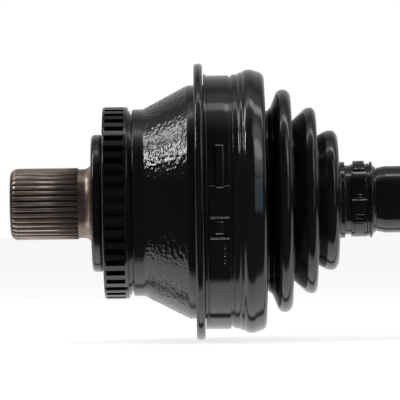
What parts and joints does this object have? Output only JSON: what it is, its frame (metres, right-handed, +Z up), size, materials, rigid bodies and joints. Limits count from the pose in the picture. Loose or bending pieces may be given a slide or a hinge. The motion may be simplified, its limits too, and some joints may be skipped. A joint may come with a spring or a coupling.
{
  "type": "cv axle",
  "caption": "Driveshaft with a fixed ball joint and splined stub at the wheel end, a flanged plunging ball joint at the gearbox end, and a clamped bellows boot on each joint.",
  "frame": {"origin": "on the axle's centre line, in the plane of the shoulder that the wheel bearing's inner ring seats against", "axes": "+X along the axle from the wheel end to the gearbox end, +Z up, +Y towards the back of the view"},
  "size_m": [0.5015, 0.1286, 0.1286],
  "materials": {
    "black_painted_steel": "gloss black paint over a rough forging",
    "pressed_steel": "gloss black paint",
    "ground_steel": "ground and oiled",
    "bearing_steel": "polished",
    "cage_steel": "machined and oiled",
    "boot_rubber": "glossy moulded thermoplastic rubber",
    "clamp_steel": "gloss black paint",
    "spring_steel": "oiled",
    "thrust_plastic": "natural",
    "shaft_paint": "gloss black paint",
    "gasket_paper": "pressed sheet"
  },
  "bodies": {
    "shaft": {"shaft": "shaft_paint", "outer_star_race": "ground_steel", "outer_dished_washer": "spring_steel", "outer_thrust_ring": "thrust_plastic", "outer_circlip": "spring_steel", "outer_boot_small_clamp": "clamp_steel", "inner_star_race": "ground_steel", "inner_dished_washer": "spring_steel", "inner_circlip": "spring_steel", "inner_boot_small_clamp": "clamp_steel"},
    "outer_steer_ball": {"outer_ball_2": "bearing_steel"},
    "outer_cage": {"outer_cage": "cage_steel", "outer_ball_1": "bearing_steel", "outer_ball_3": "bearing_steel", "outer_ball_4": "bearing_steel", "outer_ball_6": "bearing_steel", "outer_boot": "boot_rubber"},
    "outer_ride_ball": {"outer_ball_5": "bearing_steel"},
    "outer_joint": {"outer_joint_housing": "black_painted_steel", "speed_pickup_ring": "pressed_steel", "splash_ring": "pressed_steel", "outer_boot_large_clamp": "clamp_steel"},
    "inner_steer_ball": {"inner_ball_2": "bearing_steel"},
    "inner_cage": {"inner_cage": "cage_steel", "inner_ball_1": "bearing_steel", "inner_ball_3": "bearing_steel", "inner_ball_4": "bearing_steel", "inner_ball_6": "bearing_steel"},
    "inner_ride_ball": {"inner_ball_5": "bearing_steel"},
    "inner_boot": {"inner_boot": "boot_rubber"},
    "inner_joint": {"inner_joint_ring": "ground_steel", "inner_cap_gasket": "gasket_paper", "inner_boot_cap": "pressed_steel", "inner_end_cover": "pressed_steel", "inner_boot_large_clamp": "clamp_steel"}
  },
  "joints": [
    {"name": "outer_steer", "type": "hinge", "parent": "shaft", "child": "outer_steer_ball", "pos_m": [0.046, 0, 0], "axis": [0, 0, 1], "range_deg": [-19, 19], "deforming": ["outer_boot"]},
    {"name": "outer_ride", "type": "hinge", "parent": "outer_steer_ball", "child": "outer_cage", "pos_m": [0.046, 0, 0], "axis": [0, 1, 0], "range_deg": [-6, 6], "deforming": ["outer_boot"]},
    {"name": "outer_ride_other_half", "type": "hinge", "parent": "outer_cage", "child": "outer_ride_ball", "pos_m": [0.046, 0, 0], "axis": [0, 1, 0], "range_deg": [-6, 6]},
    {"name": "outer_steer_other_half", "type": "hinge", "parent": "outer_ride_ball", "child": "outer_joint", "pos_m": [0.046, 0, 0], "axis": [0, 0, 1], "range_deg": [-19, 19]},
    {"name": "inner_steer", "type": "hinge", "parent": "shaft", "child": "inner_steer_ball", "pos_m": [0.43, 0, 0], "axis": [0, 0, 1], "range_deg": [-5, 5], "deforming": ["inner_boot"]},
    {"name": "inner_ride", "type": "hinge", "parent": "inner_steer_ball", "child": "inner_cage", "pos_m": [0.43, 0, 0], "axis": [0, 1, 0], "range_deg": [-8, 8], "deforming": ["inner_boot"]},
    {"name": "inner_ride_other_half", "type": "hinge", "parent": "inner_cage", "child": "inner_ride_ball", "pos_m": [0.43, 0, 0], "axis": [0, 1, 0], "range_deg": [-8, 8]},
    {"name": "inner_steer_other_half", "type": "hinge", "parent": "inner_ride_ball", "child": "inner_boot", "pos_m": [0.43, 0, 0], "axis": [0, 0, 1], "range_deg": [-5, 5]},
    {"name": "inner_plunge", "type": "slide", "parent": "inner_boot", "child": "inner_joint", "axis": [1, 0, 0], "range_m": [-0.01, 0.01], "deforming": ["inner_boot"]}
  ],
  "couplings": [
    {"joint": "outer_ride_other_half", "follows": "outer_ride", "ratio": 1},
    {"joint": "outer_steer_other_half", "follows": "outer_steer", "ratio": 1},
    {"joint": "inner_ride_other_half", "follows": "inner_ride", "ratio": 1},
    {"joint": "inner_steer_other_half", "follows": "inner_steer", "ratio": 1}
  ]
}
